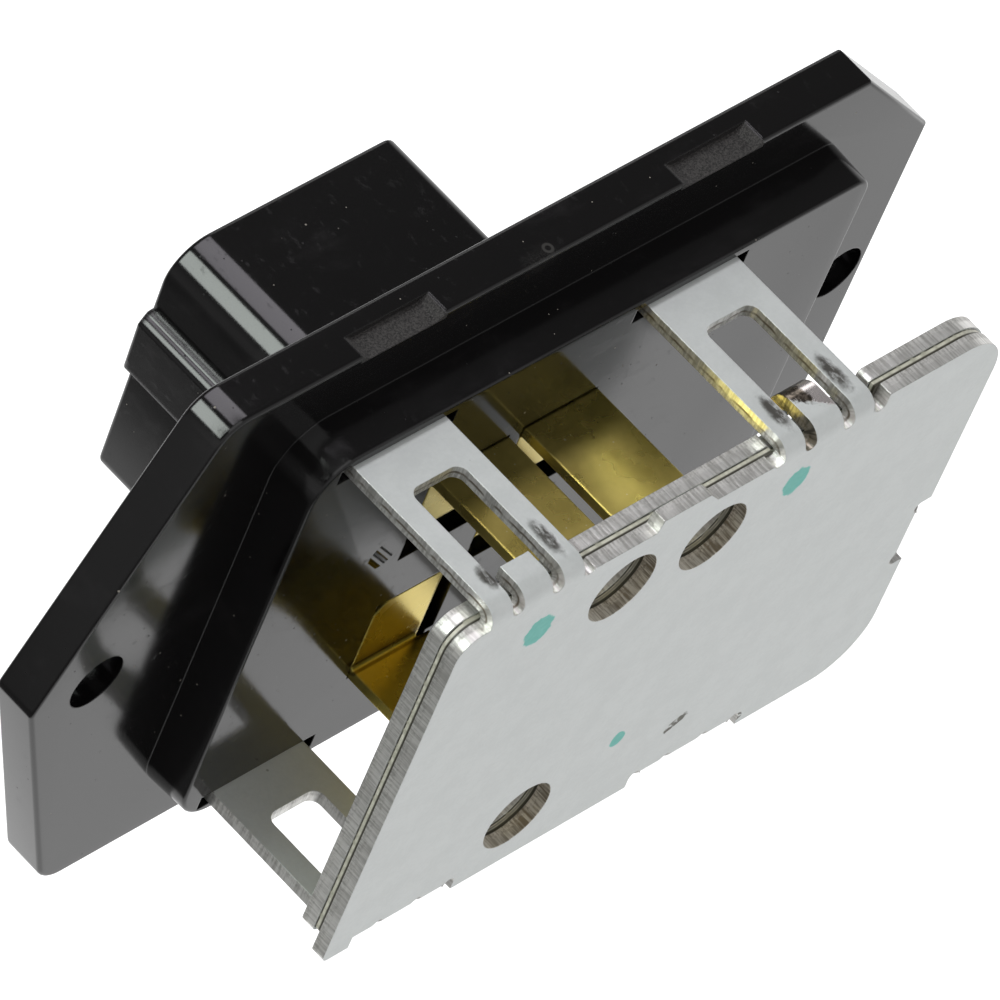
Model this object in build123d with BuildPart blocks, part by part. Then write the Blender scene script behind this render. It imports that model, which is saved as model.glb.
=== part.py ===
from build123d import *
import os

# Blower motor resistor. A moulded housing with a plug socket carries four formed terminals and
# a folded steel plate, and two plates clamp a flat film resistor that hangs in the air stream.
# All sizes are in millimetres. X runs along the flange and Z across it. The seat face of the
# flange is the plane Y = 0, with the origin midway between its two screw holes. The plates
# stand on the -Y side and the plug socket on the +Y side. A depth is measured from the seat
# face towards the plates, along -Y, so what lies behind the seat face has a negative depth.

# Flange
flange_height = 44.0
flange_thickness = 3.2
flange_flat_end = 35.15
flange_point_end = 38.0
point_length = 8.6
point_radius = 1.0
point_shoulder_radius = 2.5
corner_cut = 9.0
flange_edge_radius = 0.3
screw_spacing = 65.0
screw_hole_diameter = 4.2
scoop_width = 7.2
scoop_reach = 1.8
scoop_depth = 0.5
scoop_end_slope = 0.8
scoop_centres = (-14.7, 12.9)

# Boss on the seat face
boss_left = 23.05
boss_right = 25.4
boss_height = 34.5
boss_rise = 3.3
boss_draft = 3.0
boss_left_radius = 3.5
boss_right_radius = 1.6
boss_edge_radius = 0.25

# Plug socket
shroud_length = 15.5
shroud_wall = 1.5
shroud_right = 7.1
shroud_left = 12.3
shroud_top = 8.9
shroud_bottom = 12.45
shroud_lean = 1.15
shroud_large_radius = 3.0
shroud_corner_radius = 1.2
shroud_edge_radius = 0.3
key_rib_rise = 1.0
key_rib_top = 3.3
key_rib_height = 6.0
key_rib_slope = 0.9
lock_width = 5.0
lock_length = 4.0
lock_rise = 1.1
lock_from_mouth = 3.0

# Outer plate, one folded stamping
plate_thickness = 1.0
plate_face = 16.3
plate_left = 22.4
plate_right = 25.4
plate_half_height = 16.25
plate_right_radius = 4.2
plate_left_radius = 0.6
shoulder_level = 14.8
shoulder_radius = 1.7
rest_level = 15.25
stop_left = -5.65
stop_right = -1.6
stop_left_ramp = 0.25
stop_right_ramp = 1.0
leg_span = 32.6
leg_width = 7.9
leg_pitch = 25.4
left_leg_centre = -16.1
fold_radius = 1.35
foot_sink = 4.4
foot_clearance = 0.1
foot_slot_end_gap = 1.0
barb_length = 1.6
window_width = 4.4
window_start = 6.4
window_radius = 0.8
relief_width = 1.0
tongue_end = 13.6
hook_depth = 12.1
hook_drop = 2.4
side_tab_width = 4.1
side_tab_centre = -3.55

# Inner plate and the film resistor between the plates
film_thickness = 0.25
foil_thickness = 0.1
film_inset = 0.12
fold_gap = 0.15
inner_corner_radius = 0.35
foil_margin = 0.7
foil_clearance = 0.05
track_slot_width = 0.7
track_slot_pitch = 2.6
track_bridge = 2.2
left_track_start = -20.2
left_track_slots = 4
middle_track_slot = -3.15
right_track_start = 6.2
right_track_slots = 6

# Terminals
strip_width = 6.35
strip_thickness = 0.8
strip_bend_radius = 0.25
blade_reach = 15.2
blade_tip_cut = 1.1
kink_depth = 8.9
tip_width = 4.0
tip_shoulder = 13.4
tip_end = 14.35
slot_clearance = 0.05
recess_clearance = 0.1
terminal_hole = 5.5
upper_strip_level = 9.5
upper_foot_level = 3.2
upper_foot_gap = 1.7
middle_strip_level = 0.3
middle_foot_level = -1.85
middle_foot_gap = 1.6
lower_strip_level = -9.3
lower_foot_side = -3.75
lower_foot_gap = 0.65
lower_pad_top = -3.1
lower_pad_left = -10.35
lower_corner_cut = 1.0
upper_right_x = 0.5
upper_left_x = -7.25
middle_x = 0.4
upper_right_hole = (0.8, 10.8)
upper_left_hole = (-7.1, 10.8)
lower_hole = (-7.15, -11.55)

# Solder joints and the foil's contact lugs
solder_clearance = 0.1
solder_height = 0.9
solder_top = 14.25
solder_bevel = 0.3
lug_width = 1.8
lug_wall_gap = 0.2

# Worked-out levels and depths
flange_half = flange_height / 2
leg_level = leg_span / 2
fold_line = leg_level - fold_radius
fold_middle_radius = fold_radius - plate_thickness / 2
leg_middle_level = leg_level - plate_thickness / 2
foot_end = boss_rise - foot_sink
plate_back = plate_face - plate_thickness
plate_middle = plate_face - plate_thickness / 2
inner_face = plate_back - 2 * film_thickness
inner_back = inner_face - plate_thickness
rear_film_face = inner_face + film_thickness
foil_back = rear_film_face - foil_thickness
leg_centres = (left_leg_centre, left_leg_centre + leg_pitch)
shroud_mouth = -flange_thickness - shroud_length
tongue_width = window_width - 2 * relief_width
floor_thickness = flange_thickness + boss_rise
strip_middle_radius = strip_bend_radius + strip_thickness / 2
pad_middle = boss_rise - strip_thickness / 2
middle_hole = (middle_x, middle_strip_level - strip_thickness / 2)
through_holes = (upper_right_hole, upper_left_hole, lower_hole)
all_holes = through_holes + (middle_hole,)


def depth_plane(depth):
    """The plane at a depth. A sketch on it has the part's X and Z as its own axes."""
    return Plane.XZ.offset(depth)


def outline(plane, points, radii):
    """A closed outline, rounded at each point that radii gives with its radius."""
    with BuildSketch(plane) as shape:
        with BuildLine():
            Polyline(*points, close=True)
        make_face()
        for (x, y), radius in radii:
            corner = shape.vertices().sort_by_distance((x, y, 0))[0]
            fillet(corner, radius=radius)
    return shape.sketch


def strip_profile(plane, points, thickness, radius):
    """The side view of a bent strip whose middle line runs through the points."""
    with BuildSketch(plane) as profile:
        with BuildLine():
            FilletPolyline(*points, radius=radius)
        trace(line_width=thickness)
    return profile.sketch


def flange_outline(plane):
    """The flange, pointed at one end and with two corners cut off at the other."""
    shoulder = point_length - flange_point_end
    cut = flange_flat_end - corner_cut
    points = [
        (-flange_point_end, 0),
        (shoulder, flange_half),
        (cut, flange_half),
        (flange_flat_end, flange_half - corner_cut),
        (flange_flat_end, corner_cut - flange_half),
        (cut, -flange_half),
        (shoulder, -flange_half),
    ]
    radii = [
        (points[0], point_radius),
        (points[1], point_shoulder_radius),
        (points[6], point_shoulder_radius),
    ]
    return outline(plane, points, radii)


def boss_outline(plane):
    """The boss, whose corners are larger on the pointed side of the flange."""
    half = boss_height / 2
    points = [(-boss_left, half), (boss_right, half), (boss_right, -half), (-boss_left, -half)]
    radii = [boss_left_radius, boss_right_radius, boss_right_radius, boss_left_radius]
    return outline(plane, points, list(zip(points, radii)))


def shroud_outline(plane):
    """The socket's shroud, with one large corner, and a key rib on its leaning side."""
    lean = shroud_lean / (shroud_top + shroud_bottom)
    rib_foot = key_rib_top - key_rib_height

    def side(level):
        return -shroud_left + lean * (shroud_top - level)

    points = [
        (shroud_right, shroud_top),
        (side(shroud_top), shroud_top),
        (side(key_rib_top), key_rib_top),
        (side(key_rib_top) - key_rib_rise, key_rib_top - key_rib_slope),
        (side(rib_foot) - key_rib_rise, rib_foot + key_rib_slope),
        (side(rib_foot), rib_foot),
        (side(-shroud_bottom), -shroud_bottom),
        (shroud_right, -shroud_bottom),
    ]
    radii = [
        (points[0], shroud_corner_radius),
        (points[1], shroud_large_radius),
        (points[6], shroud_corner_radius),
        (points[7], shroud_corner_radius),
    ]
    return outline(plane, points, radii)


def socket_outline(plane):
    """The space for the plug, inside the shroud's wall."""
    left = shroud_wall - shroud_left
    right = shroud_right - shroud_wall
    top = shroud_top - shroud_wall
    bottom = shroud_wall - shroud_bottom
    points = [(right, top), (left, top), (left + shroud_lean, bottom), (right, bottom)]
    return outline(plane, points, [(points[1], shroud_large_radius - shroud_wall)])


def fold_profile(centre, side, hooked):
    """The side view of a leg, or of a hooked tongue, folded back from the outer plate."""
    points = [
        (-plate_middle, side * (fold_line - plate_thickness)),
        (-plate_middle, side * leg_middle_level),
    ]
    if hooked:
        hook_middle = -hook_depth - plate_thickness / 2
        points += [
            (hook_middle, side * leg_middle_level),
            (hook_middle, side * (leg_level - hook_drop)),
        ]
    else:
        points += [(-foot_end, side * leg_middle_level)]
    plane = Plane.YZ.offset(centre)
    return strip_profile(plane, points, plate_thickness, fold_middle_radius)


def relief(start, across, along):
    """A round-ended notch beside a fold. It starts on the fold line and runs out of the edge,
    along X where across is 1 or along Z where along is 1 or -1."""
    reach = (relief_width + fold_radius) / 2 + relief_width / 2
    middle = (start[0] + across * reach, start[1] + along * reach)
    with BuildSketch(depth_plane(tongue_end)) as notch:
        with Locations(middle):
            turn = 90 if along else 0
            SlotOverall(2 * reach, relief_width, rotation=turn)
    return notch.sketch


def stack_outline(plane, inset, soft):
    """The outline of the inner plate and of what lies on it, clear of the outer plate's folds.
    Where soft is true, the steps between the folds are rounded too."""
    left = inset - plate_left
    right = plate_right - inset
    top = plate_half_height - inset
    low = fold_line - fold_gap - inset
    rest = rest_level - inset
    first = leg_centres[0] + leg_width / 2 + inset
    second = leg_centres[1] - leg_width / 2 - inset
    last = leg_centres[1] + leg_width / 2 + relief_width / 2 + inset
    tab_half = side_tab_width / 2 + relief_width + inset
    tab_floor = plate_right - fold_radius - fold_gap - inset
    points = [
        (left, low),
        (first, low),
        (first, rest),
        (second, rest),
        (second, low),
        (last, low),
        (last, top),
        (right, top),
        (right, side_tab_centre + tab_half),
        (tab_floor, side_tab_centre + tab_half),
        (tab_floor, side_tab_centre - tab_half),
        (right, side_tab_centre - tab_half),
        (right, -top),
        (last, -top),
        (last, -low),
        (second, -low),
        (second, -top),
        (first, -top),
        (first, -low),
        (left, -low),
    ]
    radii = [
        (points[0], shoulder_radius),
        (points[7], plate_right_radius - inset),
        (points[12], plate_right_radius - inset),
        (points[19], plate_left_radius),
    ]
    if soft:
        radii += [(points[place], inner_corner_radius) for place in (2, 3, 6, 13, 16, 17)]
    return outline(plane, points, radii)


def hole_row(plane, holes):
    """The round holes that the terminals' tips reach into."""
    with BuildSketch(plane) as row:
        with Locations(*holes):
            Circle(terminal_hole / 2)
    return row.sketch


def strip_plan(centre, hole_x):
    """A terminal's strip from above: the blade's cut corners and the narrower tip."""
    half = strip_width / 2
    points = [
        (centre - half + blade_tip_cut, blade_reach),
        (centre + half - blade_tip_cut, blade_reach),
        (centre + half, blade_reach - blade_tip_cut),
        (centre + half, -tip_shoulder),
        (hole_x + tip_width / 2, -tip_shoulder),
        (hole_x + tip_width / 2, -plate_face),
        (hole_x - tip_width / 2, -plate_face),
        (hole_x - tip_width / 2, -tip_shoulder),
        (centre - half, -tip_shoulder),
        (centre - half, blade_reach - blade_tip_cut),
    ]
    return outline(Plane.XY, points, [])


def strip_run(foot_middle, strip_middle, hole_z):
    """The middle line of a strip from its blade over the pad, which lies in a recess of the
    boss, to its tip in the inner plate."""
    points = [
        (blade_reach, foot_middle),
        (-pad_middle, foot_middle),
        (-pad_middle, strip_middle),
    ]
    if hole_z != strip_middle:
        points.append((-kink_depth, strip_middle))
    points.append((-tip_end, hole_z))
    return points


def slot_outline(centre, middle, width, thickness, plane):
    """The slot that a terminal's strip is pushed through."""
    with BuildSketch(plane) as slot:
        with Locations((centre, middle)):
            Rectangle(width + 2 * slot_clearance, thickness + 2 * slot_clearance)
    return slot.sketch


with BuildPart() as outer_plate:
    first_left = leg_centres[0] - leg_width / 2
    first_right = leg_centres[0] + leg_width / 2
    second_left = leg_centres[1] - leg_width / 2
    second_right = leg_centres[1] + leg_width / 2
    tab_floor = plate_right - fold_radius
    tab_top = side_tab_centre + side_tab_width / 2
    tab_bottom = side_tab_centre - side_tab_width / 2
    blank = [
        (-plate_left, shoulder_level),
        (first_left, shoulder_level),
        (first_left, fold_line),
        (first_right, fold_line),
        (first_right, rest_level),
        (stop_left - stop_left_ramp, rest_level),
        (stop_left, plate_half_height),
        (stop_right, plate_half_height),
        (stop_right + stop_right_ramp, rest_level),
        (second_left, rest_level),
        (second_left, fold_line),
        (second_right, fold_line),
        (second_right, plate_half_height),
        (plate_right, plate_half_height),
        (plate_right, tab_top),
        (tab_floor, tab_top),
        (tab_floor, tab_bottom),
        (plate_right, tab_bottom),
        (plate_right, -plate_half_height),
        (second_right, -plate_half_height),
        (second_right, -fold_line),
        (second_left, -fold_line),
        (second_left, -plate_half_height),
        (first_right, -plate_half_height),
        (first_right, -fold_line),
        (first_left, -fold_line),
        (first_left, -plate_half_height),
        (-plate_left, -plate_half_height),
    ]
    rounded = [
        (blank[0], shoulder_radius),
        ((plate_right, plate_half_height), plate_right_radius),
        ((plate_right, -plate_half_height), plate_right_radius),
        (blank[-1], plate_left_radius),
    ]
    extrude(outline(depth_plane(plate_back), blank, rounded), amount=plate_thickness)
    barb_half = leg_width / 2 + foot_slot_end_gap - foot_clearance
    for side in (1, -1):
        for centre in leg_centres:
            extrude(fold_profile(centre, side, False), amount=leg_width / 2, both=True)
            # A barb on each side of the foot bites into the housing.
            foot = [
                (centre - leg_width / 2, -foot_end),
                (centre - barb_half, -foot_end - barb_length),
                (centre + barb_half, -foot_end - barb_length),
                (centre + leg_width / 2, -foot_end),
            ]
            barbs = outline(Plane.XY.offset(side * leg_middle_level), foot, [])
            extrude(barbs, amount=plate_thickness / 2, both=True)
            # The window leaves a tongue at its end, between two notches.
            window = [
                (centre - window_width / 2, -window_start),
                (centre + window_width / 2, -window_start),
                (centre + window_width / 2, -tongue_end),
                (centre - window_width / 2, -tongue_end),
            ]
            corners = [(window[0], window_radius), (window[1], window_radius)]
            opening = outline(Plane.XY.offset(side * fold_line), window, corners)
            extrude(opening, amount=side * leg_level, mode=Mode.SUBTRACT)
            # All tongues but the upper left one turn down behind the inner plate.
            if (centre, side) != (leg_centres[0], 1):
                extrude(fold_profile(centre, side, True), amount=tongue_width / 2, both=True)
            for half in (-1, 1):
                inner = centre + half * (tongue_width + relief_width) / 2
                extrude(relief((inner, side * fold_line), 0, side), amount=plate_face,
                        mode=Mode.SUBTRACT)
                outer = centre + half * (leg_width + relief_width) / 2
                if outer > first_left:
                    extrude(relief((outer, side * fold_line), 0, side), amount=plate_face,
                            mode=Mode.SUBTRACT)
    # The clinch tab on the side edge hooks round the inner plate in the same way.
    tab_run = [
        (tab_floor - plate_thickness, -plate_middle),
        (plate_right - plate_thickness / 2, -plate_middle),
        (plate_right - plate_thickness / 2, -hook_depth - plate_thickness / 2),
        (plate_right - hook_drop, -hook_depth - plate_thickness / 2),
    ]
    tab_plane = Plane.XY.offset(side_tab_centre)
    tab = strip_profile(tab_plane, tab_run, plate_thickness, fold_middle_radius)
    extrude(tab, amount=side_tab_width / 2, both=True)
    for level in (tab_top + relief_width / 2, tab_bottom - relief_width / 2):
        extrude(relief((tab_floor, level), 1, 0), amount=plate_face, mode=Mode.SUBTRACT)
    extrude(hole_row(depth_plane(plate_back), through_holes), amount=plate_thickness,
            mode=Mode.SUBTRACT)
outer_plate.part.label = "outer_plate"

with BuildPart() as inner_plate:
    extrude(stack_outline(depth_plane(inner_back), 0, True), amount=plate_thickness)
    extrude(hole_row(depth_plane(inner_back), all_holes), amount=plate_thickness,
            mode=Mode.SUBTRACT)
inner_plate.part.label = "inner_plate"

with BuildPart() as rear_film:
    extrude(stack_outline(depth_plane(inner_face), film_inset, False), amount=film_thickness)
    # A shallow pocket holds the foil, so that the two films close round its edge.
    pocket = stack_outline(depth_plane(foil_back), foil_margin - foil_clearance, False)
    extrude(pocket, amount=foil_thickness, mode=Mode.SUBTRACT)
    extrude(hole_row(depth_plane(inner_face), all_holes), amount=film_thickness,
            mode=Mode.SUBTRACT)
rear_film.part.label = "rear_film"

with BuildPart() as front_film:
    extrude(stack_outline(depth_plane(rear_film_face), film_inset, False), amount=film_thickness)
    extrude(hole_row(depth_plane(rear_film_face), through_holes), amount=film_thickness,
            mode=Mode.SUBTRACT)
front_film.part.label = "front_film"

with BuildPart() as resistor_foil:
    extrude(stack_outline(depth_plane(foil_back), foil_margin, False), amount=foil_thickness)
    left_slots = [left_track_start + track_slot_pitch * step for step in range(left_track_slots)]
    right_slots = [right_track_start + track_slot_pitch * step for step in range(right_track_slots)]
    # Slots from the two edges in turn leave one winding track.
    with BuildSketch(depth_plane(foil_back)):
        for count, place in enumerate(left_slots + [middle_track_slot] + right_slots):
            side = 1 if count % 2 else -1
            with Locations((place, side * (foil_margin + track_bridge))):
                Rectangle(track_slot_width, plate_half_height * 2)
    extrude(amount=foil_thickness, mode=Mode.SUBTRACT)
    extrude(hole_row(depth_plane(foil_back), all_holes), amount=foil_thickness,
            mode=Mode.SUBTRACT)
    # A contact lug turns down from the track into each hole of the inner plate.
    lug_face = terminal_hole / 2 - lug_wall_gap
    for hole_x, hole_z in all_holes:
        with BuildSketch(depth_plane(foil_back)):
            with Locations((hole_x, hole_z + lug_face - foil_thickness)):
                Rectangle(lug_width, terminal_hole / 5, align=(Align.CENTER, Align.MIN))
        extrude(amount=foil_thickness)
        with BuildSketch(depth_plane(solder_top - solder_height / 2)):
            with Locations((hole_x, hole_z + lug_face - foil_thickness)):
                Rectangle(lug_width, foil_thickness, align=(Align.CENTER, Align.MIN))
        extrude(amount=foil_back - solder_top + solder_height / 2)
resistor_foil.part.label = "resistor_foil"


def straight_terminal(label, centre, foot_level, strip_level, hole):
    """A terminal whose blade, pad and strip are all bent across the same width."""
    with BuildPart() as terminal:
        run = strip_run(
            foot_level + strip_thickness / 2, strip_level - strip_thickness / 2, hole[1]
        )
        plane = Plane.YZ.offset(centre)
        profile = strip_profile(plane, run, strip_thickness, strip_middle_radius)
        extrude(profile, amount=strip_width, both=True)
        extrude(strip_plan(centre, hole[0]), amount=plate_face, both=True, mode=Mode.INTERSECT)
    terminal.part.label = label
    return terminal


terminal_upper_right = straight_terminal(
    "terminal_upper_right", upper_right_x, upper_foot_level, upper_strip_level, upper_right_hole
)
terminal_upper_left = straight_terminal(
    "terminal_upper_left", upper_left_x, upper_foot_level, upper_strip_level, upper_left_hole
)
terminal_middle = straight_terminal(
    "terminal_middle", middle_x, middle_foot_level, middle_strip_level, middle_hole
)

# The lower terminal's blade stands upright, so its pad is bent along two of its sides.
lower_blade_middle = lower_foot_side - strip_thickness / 2
lower_strip_middle = lower_strip_level - strip_thickness / 2
lower_pad_bottom = lower_pad_top - strip_width
lower_bend_side = lower_foot_side - strip_thickness - strip_bend_radius
lower_strip_start = boss_rise + strip_bend_radius

with BuildPart() as lower_strip:
    lower_run = [
        (-pad_middle, lower_pad_top),
        (-pad_middle, lower_strip_middle),
        (-kink_depth, lower_strip_middle),
        (-tip_end, lower_hole[1]),
    ]
    lower_side = strip_profile(Plane.YZ, lower_run, strip_thickness, strip_middle_radius)
    extrude(lower_side, amount=-plate_left)
    tip_left = lower_hole[0] - tip_width / 2
    tip_right = lower_hole[0] + tip_width / 2
    plan = [
        (lower_pad_left, 0),
        (lower_bend_side, 0),
        (lower_bend_side, -lower_strip_start),
        (lower_foot_side, -lower_strip_start),
        (lower_foot_side, -tip_shoulder),
        (tip_right, -tip_shoulder),
        (tip_right, -plate_face),
        (tip_left, -plate_face),
        (tip_left, -tip_shoulder),
        (lower_pad_left, -tip_shoulder),
    ]
    extrude(outline(Plane.XY, plan, []), amount=plate_face, both=True, mode=Mode.INTERSECT)

with BuildPart() as terminal_lower:
    blade_run = [
        (lower_blade_middle, blade_reach),
        (lower_blade_middle, -pad_middle),
        (lower_pad_left, -pad_middle),
    ]
    blade_plane = Plane.XY.offset(lower_pad_bottom)
    blade = strip_profile(blade_plane, blade_run, strip_thickness, strip_middle_radius)
    extrude(blade, amount=strip_width)
    upright = [
        (blade_reach, lower_pad_bottom + blade_tip_cut),
        (blade_reach, lower_pad_top - blade_tip_cut),
        (blade_reach - blade_tip_cut, lower_pad_top),
        (-plate_face, lower_pad_top),
        (-plate_face, lower_pad_bottom),
        (blade_reach - blade_tip_cut, lower_pad_bottom),
    ]
    extrude(outline(Plane.YZ, upright, []), amount=plate_face, both=True, mode=Mode.INTERSECT)
    add(lower_strip.part)
    pad_corner = (lower_pad_left, -pad_middle, lower_pad_top)
    corner_edge = terminal_lower.edges().filter_by(Axis.Y).sort_by_distance(pad_corner)[0]
    chamfer(corner_edge, length=lower_corner_cut)
terminal_lower.part.label = "terminal_lower"

terminals = (terminal_upper_right, terminal_upper_left, terminal_middle, terminal_lower)

with BuildPart() as solder_joints:
    with BuildSketch(depth_plane(solder_top - solder_height)):
        with Locations(*all_holes):
            Circle(terminal_hole / 2 - solder_clearance)
    extrude(amount=solder_height)
    chamfer(solder_joints.edges().filter_by(GeomType.CIRCLE), length=solder_bevel)
    for terminal in terminals:
        add(terminal.part, mode=Mode.SUBTRACT)
    add(resistor_foil.part, mode=Mode.SUBTRACT)
solder_joints.part.label = "solder_joints"

with BuildPart() as housing:
    extrude(flange_outline(depth_plane(-flange_thickness)), amount=flange_thickness)
    fillet(housing.edges().filter_by(Axis.Y, reverse=True), radius=flange_edge_radius)
    extrude(boss_outline(depth_plane(0)), amount=boss_rise, taper=boss_draft)
    fillet(housing.faces().sort_by(Axis.Y)[0].edges(), radius=boss_edge_radius)
    extrude(shroud_outline(depth_plane(shroud_mouth)), amount=shroud_length)
    fillet(housing.faces().sort_by(Axis.Y)[-1].edges(), radius=shroud_edge_radius)
    extrude(socket_outline(depth_plane(shroud_mouth)), amount=shroud_length, mode=Mode.SUBTRACT)
    # Screw holes
    with BuildSketch(depth_plane(-flange_thickness)):
        with GridLocations(screw_spacing, 0, 2, 1):
            Circle(screw_hole_diameter / 2)
    extrude(amount=flange_thickness, mode=Mode.SUBTRACT)
    # Shallow scoops in the upper edge, open to the seat face
    for centre in scoop_centres:
        scoop_half = scoop_width / 2
        scoop_floor = flange_half - scoop_depth
        scoop = [
            (centre - scoop_half, flange_half + scoop_depth),
            (centre - scoop_half, flange_half),
            (centre - scoop_half + scoop_end_slope, scoop_floor),
            (centre + scoop_half - scoop_end_slope, scoop_floor),
            (centre + scoop_half, flange_half),
            (centre + scoop_half, flange_half + scoop_depth),
        ]
        extrude(outline(depth_plane(-scoop_reach), scoop, []), amount=scoop_reach,
                mode=Mode.SUBTRACT)
    # Blind slots for the legs' feet
    with BuildSketch(depth_plane(foot_end - foot_clearance)):
        for side in (1, -1):
            for centre in leg_centres:
                with Locations((centre, side * leg_middle_level)):
                    Rectangle(leg_width + 2 * foot_slot_end_gap,
                              plate_thickness + 2 * foot_clearance)
    extrude(amount=foot_sink + foot_clearance, mode=Mode.SUBTRACT)
    # Each terminal has a close slot, a recess that its pad lies flush in, and a deeper pocket for
    # the bend between the two.
    pocket_depth = strip_thickness + strip_bend_radius + slot_clearance
    floor = depth_plane(-flange_thickness)
    pocket_floor = depth_plane(boss_rise - pocket_depth)
    recess_depth = strip_thickness + slot_clearance
    recess_floor = depth_plane(boss_rise - recess_depth)
    across = (
        (upper_right_x, upper_foot_level, upper_foot_gap, upper_strip_level),
        (upper_left_x, upper_foot_level, upper_foot_gap, upper_strip_level),
        (middle_x, middle_foot_level, middle_foot_gap, middle_strip_level),
    )
    for centre, level, gap, strip_level in across:
        with BuildSketch(recess_floor):
            with Locations((centre, level)):
                Rectangle(strip_width + 2 * recess_clearance,
                          strip_level - level + recess_clearance,
                          align=(Align.CENTER, Align.MIN))
        extrude(amount=recess_depth, mode=Mode.SUBTRACT)
        middle = level + strip_thickness / 2
        slot = slot_outline(centre, middle, strip_width, strip_thickness, floor)
        extrude(slot, amount=floor_thickness, mode=Mode.SUBTRACT)
        middle = level + (pocket_depth - gap) / 2
        pocket = slot_outline(centre, middle, strip_width, pocket_depth + gap, pocket_floor)
        extrude(pocket, amount=pocket_depth, mode=Mode.SUBTRACT)
    lower_middle = lower_pad_top - strip_width / 2
    slot = slot_outline(lower_blade_middle, lower_middle, strip_thickness, strip_width, floor)
    extrude(slot, amount=floor_thickness, mode=Mode.SUBTRACT)
    with BuildSketch(recess_floor):
        with Locations((lower_foot_side, lower_pad_top + recess_clearance)):
            Rectangle(lower_foot_side - lower_pad_left + recess_clearance,
                      lower_pad_top - lower_strip_level + strip_thickness + 2 * recess_clearance,
                      align=(Align.MAX, Align.MAX))
    extrude(amount=recess_depth, mode=Mode.SUBTRACT)
    side_middle = lower_foot_side + (lower_foot_gap - pocket_depth) / 2
    pocket_width = pocket_depth + lower_foot_gap
    pocket = slot_outline(side_middle, lower_middle, pocket_width, strip_width, pocket_floor)
    extrude(pocket, amount=pocket_depth, mode=Mode.SUBTRACT)
    # The ramp that the plug's latch snaps over
    lock_foot = -shroud_mouth - lock_from_mouth
    ramp = [
        (shroud_right - shroud_wall / 2, lock_foot),
        (shroud_right, lock_foot),
        (shroud_right + lock_rise, lock_foot - lock_length + lock_rise),
        (shroud_right + lock_rise, lock_foot - lock_length),
        (shroud_right - shroud_wall / 2, lock_foot - lock_length),
    ]
    lock_plane = Plane.XY.offset((shroud_top - shroud_bottom) / 2)
    extrude(outline(lock_plane, ramp, []), amount=lock_width / 2, both=True)
housing.part.label = "housing"

pieces = (housing, outer_plate, inner_plate, rear_film, resistor_foil, front_film)
os.makedirs("parts", exist_ok=True)
for piece in pieces + terminals + (solder_joints,):
    export_step(piece.part, f"parts/{piece.part.label}.step")
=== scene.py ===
import math

import bmesh
import bpy
from bpy.props import FloatProperty, FloatVectorProperty, PointerProperty
from mathutils import Matrix, Vector


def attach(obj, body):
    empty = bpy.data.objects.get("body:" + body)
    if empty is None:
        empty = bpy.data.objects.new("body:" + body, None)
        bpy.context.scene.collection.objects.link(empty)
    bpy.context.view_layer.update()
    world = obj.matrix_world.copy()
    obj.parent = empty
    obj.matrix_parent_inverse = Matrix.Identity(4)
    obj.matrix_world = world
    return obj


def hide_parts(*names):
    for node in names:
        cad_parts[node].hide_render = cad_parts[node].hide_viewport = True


bl_info = {
    "name": "Blower motor resistor",
    "version": (1, 0, 0),
    "blender": (4, 5, 0),
    "location": "3D View > Sidebar > Resistor",
    "description": "Dresses a heater blower's flat film resistor, piece by piece",
    "category": "Object",
}

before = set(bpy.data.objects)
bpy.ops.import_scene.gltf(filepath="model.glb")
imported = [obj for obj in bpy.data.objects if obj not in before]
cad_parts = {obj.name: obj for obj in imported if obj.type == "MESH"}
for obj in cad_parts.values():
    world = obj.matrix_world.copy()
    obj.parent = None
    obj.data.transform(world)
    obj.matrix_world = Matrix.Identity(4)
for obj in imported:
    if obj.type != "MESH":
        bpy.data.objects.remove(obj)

MM = 0.001
BODY = "root"

# The camera stands where the photograph was taken from, above the pointed end of the flange.
CAMERA_PLACE = (-0.49178, -0.26979, 0.59035)
CAMERA_RIGHT = (0.69633, -0.66052, 0.28076)
CAMERA_UP = (0.38708, 0.67504, 0.62808)
CAMERA_BACK = (-0.60439, -0.32868, 0.72573)
CAMERA_LENS = 477.96
CAMERA_SENSOR = 36.0

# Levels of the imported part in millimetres, for the finishes that follow its features. The fold's
# core, the tongue's start, the faces of the plates and the films and the kink are also or only
# depths below the flange, against the Y axis.
MARGIN = 0.02
SCOOP_CENTRES = (-14.7, 12.9)
SCOOP_HALF = 3.6
SCOOP_FLOOR = 21.5
SCOOP_REACH = 1.8
# The legs and the side tab of the outer plate are folded round a core.
FOLD_CORE = 14.95
FOLD_INSIDE = 0.35
TAB_CORE = 24.05
HALF_SHEET = 0.5
LEG_CENTRES = (-16.1, 9.3)
LEG_HALF = 3.95
TONGUE_HALF = 1.2
TONGUE_START = 11.0
TAB_CENTRE = -3.55
TAB_HALF = 2.05
OUTER_FACE = 16.3
INNER_BACK = 13.8
FILM_FRONT = 15.24
FILM_BACK = 14.82
HOLES = ((0.8, 0.0, 10.8), (-7.1, 0.0, 10.8), (-7.15, 0.0, -11.55))
HOLE_WALL = 2.9
# The key rib, seen along Y: where its slope is cut, the way down the slope, where the cut is moved
# to, the corner at the rib's foot, and the faces that are cut
RIB_CUT = (-12.35, 0.0, 2.985)
RIB_SLOPE = (-0.743, 0.0, -0.669)
RIB_EDGE = (-12.45, 0.0, 3.28)
RIB_FOOT = (-12.68, 0.0, -1.8)
RIB_REACH = 0.8
RIB_RIGHT = -12.0
RIB_BASE = 3.3
# Centre and level of each crown, measured up the slope from its cut
RIB_CROWNS = ((-0.44, 0.0794), (0.25, 0.0256))
CROWN_CURVE = 0.41
CROWN_REACH = 1.3
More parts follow.
